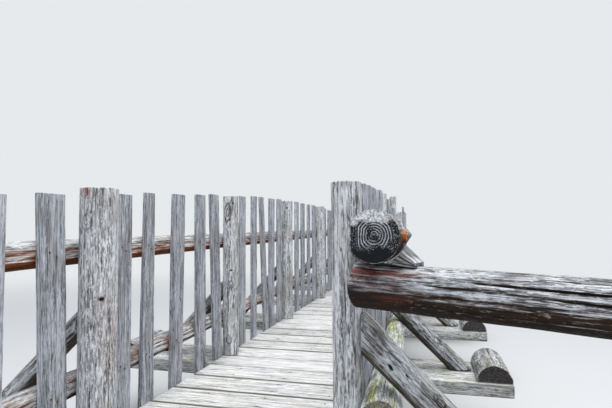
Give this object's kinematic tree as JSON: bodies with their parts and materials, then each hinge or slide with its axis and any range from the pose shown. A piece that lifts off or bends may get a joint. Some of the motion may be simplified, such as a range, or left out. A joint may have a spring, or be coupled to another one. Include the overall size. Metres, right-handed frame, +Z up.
{
  "type": "wooden log footbridge",
  "caption": "Log and board footbridge: deck on stringers, picket railings on log rails, outriggers with braced posts, one flared wing rail.",
  "frame": {"origin": "middle of the near sill's underside, on the ground", "axes": "+X to the right across the bridge, +Y along the bridge from the near bank to the far one, +Z up"},
  "size_m": [4.5739, 8.1971, 1.885],
  "materials": {
    "deck_board": "weathered pale grey sawn boards with raised grain and moss in the gaps",
    "outrigger_timber": "weathered grey sawn timber, lichen on top",
    "stop_block_log": "half log, weathered grey with a dark end grain",
    "post_log": "peeled log, whitish grey and mottled, with knots and drying cracks",
    "brace_log": "weathered grey log with lichen and long cracks",
    "picket_board": "weathered blue grey sawn board",
    "rail_log": "peeled log, grey above and tan brown below",
    "lower_rail_log": "log with peeling bark and reddish gashes",
    "mossy_rail_log": "grey log with yellow green moss",
    "stringer_log": "heavy hewn log, damp brown grey",
    "sill_log": "heavy hewn log, damp dark brown",
    "wing_log": "cracked log, grey above and dark wet brown below",
    "chock_wedge": "split wedge with deep grooves"
  },
  "bodies": {
    "root": {"deck_planks_1": "deck_board", "deck_planks_2": "deck_board", "deck_planks_3": "deck_board", "deck_planks_4": "deck_board", "deck_planks_5": "deck_board", "deck_planks_6": "deck_board", "far_sill": "sill_log", "left_brace_1": "brace_log", "left_brace_2": "brace_log", "left_brace_3": "brace_log", "left_brace_4": "brace_log", "left_brace_5": "brace_log", "left_lower_rail": "lower_rail_log", "left_pickets_1": "picket_board", "left_pickets_2": "picket_board", "left_pickets_3": "picket_board", "left_pickets_4": "picket_board", "left_post_1": "post_log", "left_post_2": "post_log", "left_post_3": "post_log", "left_post_4": "post_log", "left_post_5": "post_log", "left_stringer": "stringer_log", "left_top_rail": "rail_log", "middle_stringer": "stringer_log", "near_sill": "sill_log", "outrigger_1": "outrigger_timber", "outrigger_2": "outrigger_timber", "outrigger_3": "outrigger_timber", "outrigger_4": "outrigger_timber", "outrigger_5": "outrigger_timber", "rail_chock": "chock_wedge", "right_brace_1": "brace_log", "right_brace_2": "brace_log", "right_brace_3": "brace_log", "right_brace_4": "brace_log", "right_brace_5": "brace_log", "right_lower_rail": "mossy_rail_log", "right_pickets_1": "picket_board", "right_pickets_2": "picket_board", "right_pickets_3": "picket_board", "right_pickets_4": "picket_board", "right_post_1": "post_log", "right_post_2": "post_log", "right_post_3": "post_log", "right_post_4": "post_log", "right_post_5": "post_log", "right_stringer": "stringer_log", "right_top_rail": "rail_log", "stop_blocks_1": "stop_block_log", "stop_blocks_2": "stop_block_log", "stop_blocks_3": "stop_block_log", "stop_blocks_4": "stop_block_log", "stop_blocks_5": "stop_block_log", "wing_post": "post_log", "wing_rail": "wing_log"}
  },
  "joints": []
}
